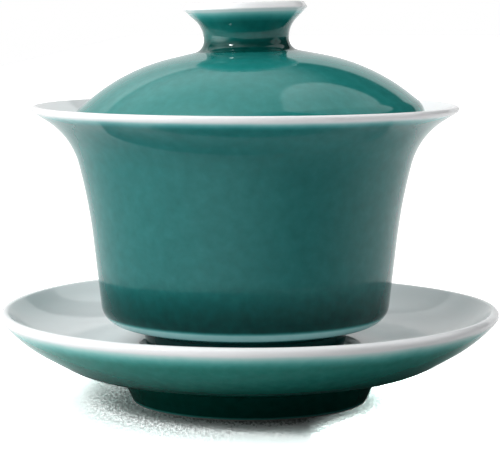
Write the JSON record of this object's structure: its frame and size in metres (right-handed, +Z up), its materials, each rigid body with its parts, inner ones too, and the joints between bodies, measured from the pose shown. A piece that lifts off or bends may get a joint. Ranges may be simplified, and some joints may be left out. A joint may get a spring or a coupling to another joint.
{
  "type": "gaiwan",
  "caption": "Lidded tea bowl on a saucer: flared bowl with a foot ring, domed lid with a hollow ring knob, and a saucer with a recess that the bowl stands in.",
  "frame": {"origin": "centre of the saucer's foot ring, on the surface that it stands on", "axes": "+Z up along the saucer's axis; +X towards the side where the lid sits higher"},
  "size_m": [0.1208, 0.1208, 0.0967],
  "materials": {
    "saucer_glaze": "gloss",
    "bowl_glaze": "gloss",
    "lid_glaze": "gloss"
  },
  "bodies": {
    "saucer": {"saucer": "saucer_glaze"},
    "bowl": {"bowl": "bowl_glaze"},
    "lid": {"lid": "lid_glaze"}
  },
  "joints": [
    {"name": "bowl_lift", "type": "slide", "parent": "saucer", "child": "bowl", "axis": [0, 0, 1], "range_m": [0, 0.12]},
    {"name": "lid_lift", "type": "slide", "parent": "bowl", "child": "lid", "axis": [0, 0, 1], "range_m": [0, 0.1]}
  ]
}
